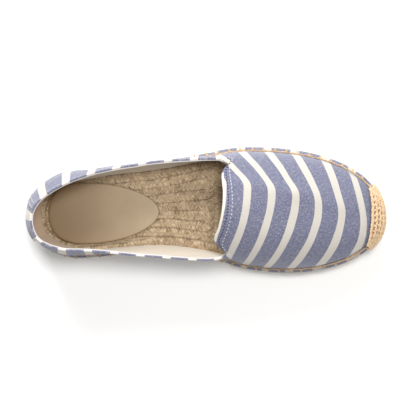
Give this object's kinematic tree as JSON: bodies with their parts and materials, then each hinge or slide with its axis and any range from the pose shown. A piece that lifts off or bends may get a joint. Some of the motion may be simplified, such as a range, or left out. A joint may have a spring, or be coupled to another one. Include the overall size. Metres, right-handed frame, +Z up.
{
  "type": "espadrille",
  "caption": "Flat slip-on espadrille with a coiled jute sole, a striped canvas upper joined by blanket stitch, a thread-wrapped toe and a leather heel sock.",
  "frame": {"origin": "on the floor, under the middle of the shoe's bounding box", "axes": "+X from heel to toe, +Y to the wearer's left, the outer side of this left shoe, +Z up"},
  "size_m": [0.2522, 0.0882, 0.06],
  "materials": {
    "outsole_rubber": "matt, light brown crepe rubber",
    "jute": "coiled jute braid, dry and fibrous",
    "canvas": "plain-woven cotton, slate blue mixed with off-white, with off-white stripes",
    "wrap_thread": "twisted jute thread, pale straw",
    "sock_leather": "matt beige leather"
  },
  "bodies": {
    "root": {"outsole": "outsole_rubber", "jute_sole": "jute", "upper": "canvas", "toe_wrap": "wrap_thread", "heel_sock": "sock_leather"}
  },
  "joints": []
}
